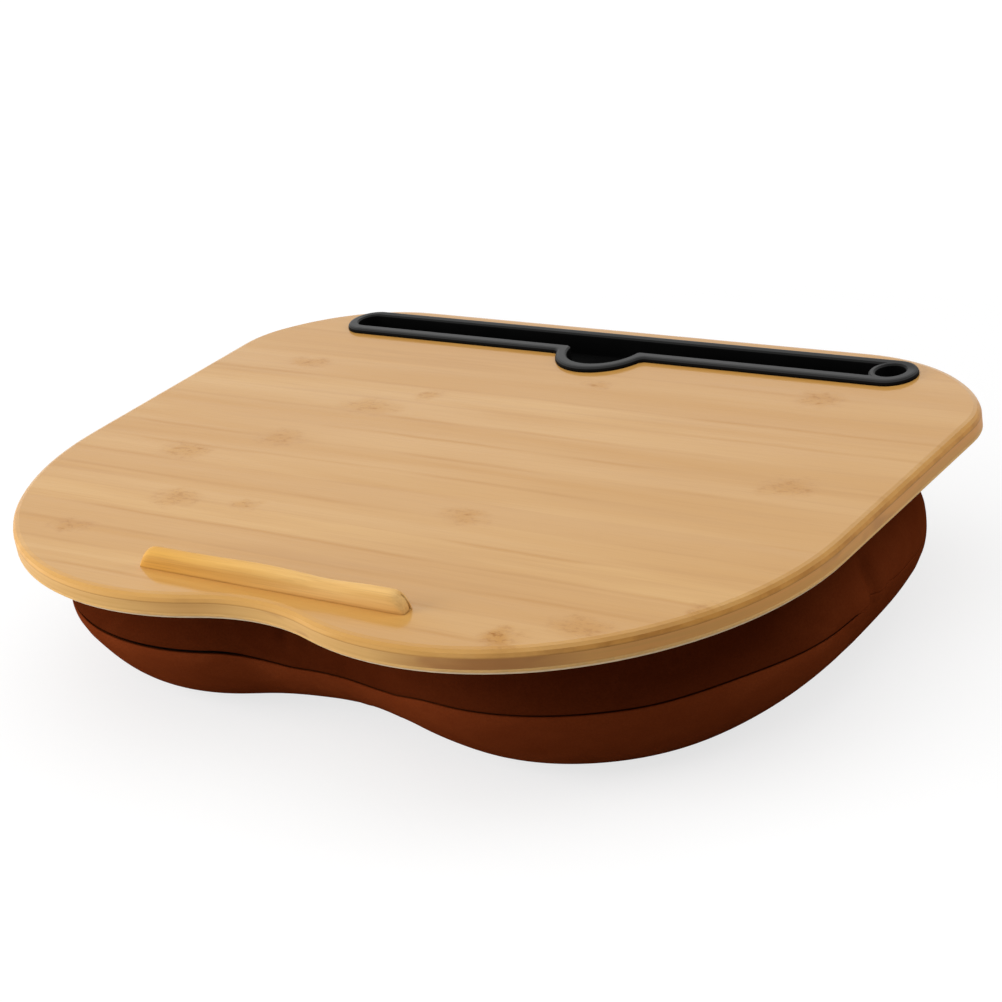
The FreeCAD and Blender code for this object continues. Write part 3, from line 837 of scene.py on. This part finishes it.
# ---------------------------------------------------------------- pieces
def dress():
    """Paints the bare CAD pieces and builds the others."""
    paint(bamboo_face(), "board_face_ply")
    paint(bamboo_core(), "board_core_ply")
    paint(bamboo_back(), "board_back_ply")
    ledge(bamboo_ledge())
    paint(black_plastic(), "slot_insert")
    paint(brown_metal(), "zip_stops", "zip_slider", "zip_pull")
    paint(plain("hardboard", (0.24, 0.14, 0.08), (0.32, 0.20, 0.12), 500.0, 0.8), "backing_panel")
    form = swell(cushion_form(SHRUNK))
    grid = pressed(doubled(form))
    grid[..., 2] = np.clip(grid[..., 2], 0, UNDER)
    seam = 2 * LOWER_ROWS
    lower, upper = grid[seam::-1], grid[seam:]
    tape = woven_tape()
    cushion_half("cushion_lower", "cover_lower", lower, -1, suede("suede", 1.0))
    # The upper cover is the same suede with more painted shade, for the board's shadow over it.
    cushion_half("cushion_upper", "cover_upper", upper, 1, suede("suede in painted shade", 0.48))
    zip_half("zip_tape_lower", "zip_half_lower", lower, -1, tape)
    zip_half("zip_tape_upper", "zip_half_upper", upper, 1, tape)
    # The filling is coloured near-black: painted shade for the inside of the cushion, seen through
    # the slit.
    painted_shade_filling = plain("painted_shade_filling", (0.020, 0.010, 0.007), (0.035, 0.018, 0.012), 300.0, 0.95)
    foam(form).data.materials.append(painted_shade_filling)


# ---------------------------------------------------------------- camera, floor and light
FOCAL = 2472.0                        # pixels, for a picture 1002 pixels across
PICTURE = 1002.0
CENTRE_X, CENTRE_Y = 455.4, 458.0     # where the optical axis meets the picture
AZIMUTH, ELEVATION, ROLL = math.radians(39.68), math.radians(22.68), math.radians(-10.0)
DISTANCE = 1.178                      # metres, from the middle of the board's top
FLOOR_SIZE = 6.0
FLOOR_LEVEL = -0.2 * MM
LAMP_AIM = (0, 0, 0.05)


def make_camera():
    """The photograph's camera, which looks at the middle of the board's top."""
    back = Vector((math.sin(AZIMUTH) * math.cos(ELEVATION),
                   -math.cos(AZIMUTH) * math.cos(ELEVATION), math.sin(ELEVATION)))
    right = Vector((math.cos(AZIMUTH), math.sin(AZIMUTH), 0))
    up = back.cross(right)
    tilted_right = math.cos(ROLL) * right + math.sin(ROLL) * up
    tilted_up = math.cos(ROLL) * up - math.sin(ROLL) * right
    data = bpy.data.cameras.new("camera")
    data.sensor_width = 36.0
    data.lens = FOCAL / PICTURE * data.sensor_width
    data.shift_x = (PICTURE / 2 - CENTRE_X) / PICTURE
    data.shift_y = (CENTRE_Y - PICTURE / 2) / PICTURE
    data.clip_start = 0.01
    camera = bpy.data.objects.new("camera", data)
    matrix = Matrix((tilted_right, tilted_up, back)).transposed().to_4x4()
    matrix.translation = back * DISTANCE + Vector((0, 0, TOP))
    camera.matrix_world = matrix
    bpy.context.scene.collection.objects.link(camera)
    bpy.context.scene.camera = camera


def make_floor():
    """A pale table, which the camera sees as white apart from the object's soft shadow."""
    corner = FLOOR_SIZE
    square = [(-corner, -corner), (corner, -corner), (corner, corner), (-corner, corner)]
    points = [(x, y, FLOOR_LEVEL) for x, y in square]
    floor = new_object("floor", points, [(0, 1, 2, 3)], None, smooth=False)
    s = Shader("floor")
    cloud = s.noise(s.place, 3.0)
    s.set(base_color=s.mix(cloud, (0.54, 0.54, 0.54), (0.56, 0.56, 0.56)), roughness=0.9,
          specular_ior_level=0.0)
    # What the camera and glossy surfaces see: a matt grey that keeps the shadow, plus a glow
    # that brings it to white away from the object.
    glow = s.add("ShaderNodeEmission")
    far = s.vector("LENGTH", s.place)
    s.link(s.span(far, 0.45, 1.3, 0.74, 1.0), glow.inputs["Strength"])
    matt = s.add("ShaderNodeBsdfDiffuse")
    matt.inputs["Color"].default_value = (0.29, 0.29, 0.29, 1.0)
    both = s.add("ShaderNodeAddShader")
    s.link(matt.outputs[0], both.inputs[0])
    s.link(glow.outputs[0], both.inputs[1])
    rays = s.add("ShaderNodeLightPath")
    either = s.math("MAXIMUM", rays.outputs["Is Camera Ray"], rays.outputs["Is Glossy Ray"])
    seen = s.add("ShaderNodeMixShader")
    s.link(either, seen.inputs[0])
    s.link(s.surface.outputs[0], seen.inputs[1])
    s.link(both.outputs[0], seen.inputs[2])
    s.link(seen.outputs[0], s.output.inputs["Surface"])
    floor.data.materials.append(s.material)


def area_light(name, place, size, power):
    """A soft lamp; glossy surfaces reflect the white surroundings, not the lamp."""
    data = bpy.data.lights.new(name, "AREA")
    data.shape = "DISK"
    data.size = size
    data.energy = power
    lamp = bpy.data.objects.new(name, data)
    lamp.location = place
    lamp.visible_glossy = False
    lamp.rotation_euler = (Vector(LAMP_AIM) - Vector(place)).to_track_quat("-Z", "Y").to_euler()
    bpy.context.scene.collection.objects.link(lamp)


def make_light():
    """Three lamps and a dim world, which the camera and glossy surfaces see as white."""
    area_light("overhead", (0.1, -0.1, 1.6), 2.6, 25.5)
    area_light("front left", (-1.50, -1.10, 0.6), 1.5, 32)
    area_light("right", (1.4, 0.8, 0.9), 1.0, 7)
    world = bpy.data.worlds.new("studio")
    world.use_nodes = True
    nodes, links = world.node_tree.nodes, world.node_tree.links
    rays = nodes.new("ShaderNodeLightPath")
    either = nodes.new("ShaderNodeMath")
    either.operation = "MAXIMUM"
    links.new(rays.outputs["Is Camera Ray"], either.inputs[0])
    links.new(rays.outputs["Is Glossy Ray"], either.inputs[1])
    strength = nodes.new("ShaderNodeMapRange")
    links.new(either.outputs[0], strength.inputs["Value"])
    strength.inputs["To Min"].default_value = 0.08
    strength.inputs["To Max"].default_value = 1.0
    links.new(strength.outputs["Result"], nodes["Background"].inputs["Strength"])
    nodes["Background"].inputs["Color"].default_value = (1, 1, 1, 1)
    bpy.context.scene.world = world
    bpy.context.scene.view_settings.view_transform = "Standard"


make_camera()
make_floor()
make_light()
dress()
